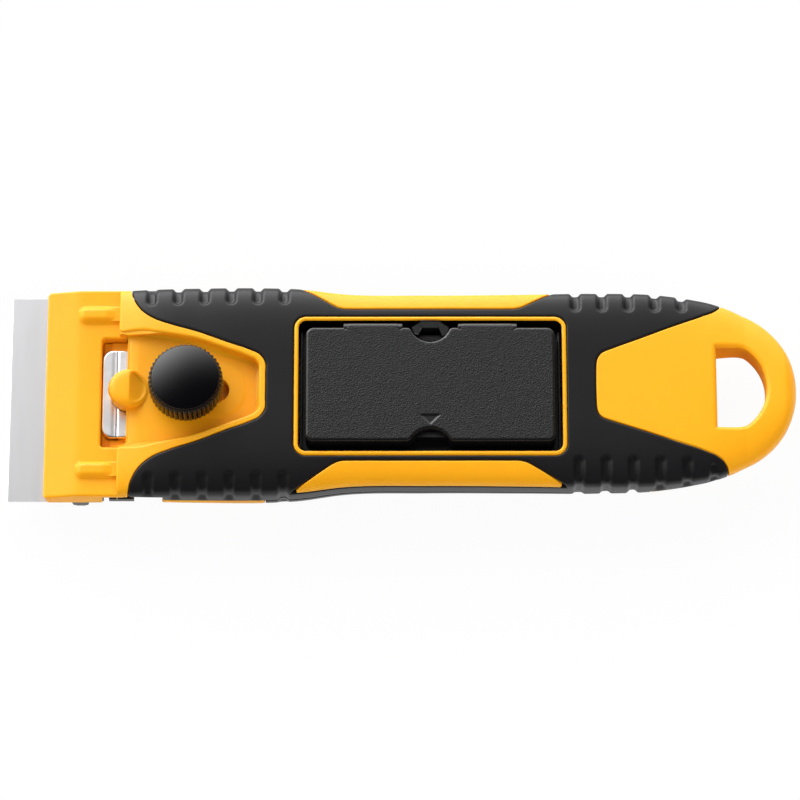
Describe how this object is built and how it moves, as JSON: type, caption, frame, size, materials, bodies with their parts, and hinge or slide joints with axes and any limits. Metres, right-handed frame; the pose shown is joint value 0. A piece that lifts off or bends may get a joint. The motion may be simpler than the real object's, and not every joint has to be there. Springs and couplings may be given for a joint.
{
  "type": "glass scraper",
  "caption": "Hand scraper with a flat blade clamped under a slotted head by a knurled knob, soft grips, a hinged spare-blade case in the handle and a hang hole.",
  "frame": {"origin": "centre of the footprint, at the flat of the back that the tool lies on", "axes": "+X from the blade's edge to the hang hole, +Y to the side of the case's hinge, +Z from the back through the clamp knob"},
  "size_m": [0.1456, 0.041, 0.0179],
  "materials": {
    "yellow_plastic": "satin",
    "black_rubber": "matte",
    "black_plastic": "fine grain",
    "gloss_black": "gloss",
    "blade_steel": "ground",
    "zinc_steel": "satin"
  },
  "bodies": {
    "handle": {"upper_shell": "yellow_plastic", "lower_shell": "yellow_plastic", "upper_grip": "black_rubber", "lower_grip": "black_rubber", "case_tray": "black_plastic", "spare_blade_1": "blade_steel", "spare_blade_2": "blade_steel", "spare_blade_3": "blade_steel", "shell_screw_1": "zinc_steel", "shell_screw_2": "zinc_steel", "shell_screw_3": "zinc_steel", "shell_screw_4": "zinc_steel"},
    "slider": {"blade_slider": "yellow_plastic", "blade_stop_bar": "zinc_steel", "backing_plate": "black_plastic", "blade": "blade_steel", "clamp_bolt": "zinc_steel", "knob_washer": "zinc_steel", "spring_washer": "zinc_steel"},
    "knob": {"knob": "black_plastic", "knob_cap": "gloss_black", "knob_insert": "zinc_steel"},
    "case_lid": {"case_lid": "black_plastic"}
  },
  "joints": [
    {"name": "blade_slide", "type": "slide", "parent": "handle", "child": "slider", "axis": [1, 0, 0], "range_m": [0, 0.0052]},
    {"name": "knob_turn", "type": "hinge", "parent": "slider", "child": "knob", "pos_m": [-0.03985, 0, 0.0144], "axis": [0, 0, 1], "range_deg": [0, 360]},
    {"name": "lid_hinge", "type": "hinge", "parent": "handle", "child": "case_lid", "pos_m": [0.00515, 0.01115, 0.01295], "axis": [-1, 0, 0], "range_deg": [0, 110]}
  ]
}
